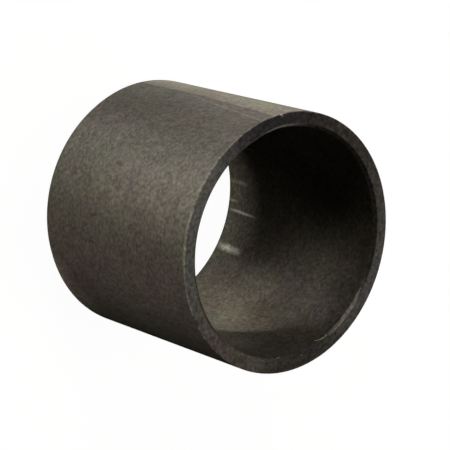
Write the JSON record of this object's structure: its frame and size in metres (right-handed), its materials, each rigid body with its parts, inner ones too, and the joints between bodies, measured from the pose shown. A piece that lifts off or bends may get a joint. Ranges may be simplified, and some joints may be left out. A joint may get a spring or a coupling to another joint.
{
  "type": "plastic plain bearing",
  "caption": "Thin-walled plastic sleeve bearing: a shaft turns in its bore and its outside presses into a housing, led in by a chamfer at one end.",
  "frame": {"origin": "centre of the lead-in end's face, which the sleeve stands on", "axes": "+Z along the bore's axis, from the lead-in end to the plain end; X and Y are free, and the nick in the plain end's outer edge lies 26.5 degrees past -X towards -Y"},
  "size_m": [0.034, 0.034, 0.03],
  "materials": {
    "filled_nylon": "moulded charcoal grey, satin, finely mottled by its filler"
  },
  "bodies": {
    "root": {"bearing_sleeve": "filled_nylon"}
  },
  "joints": []
}
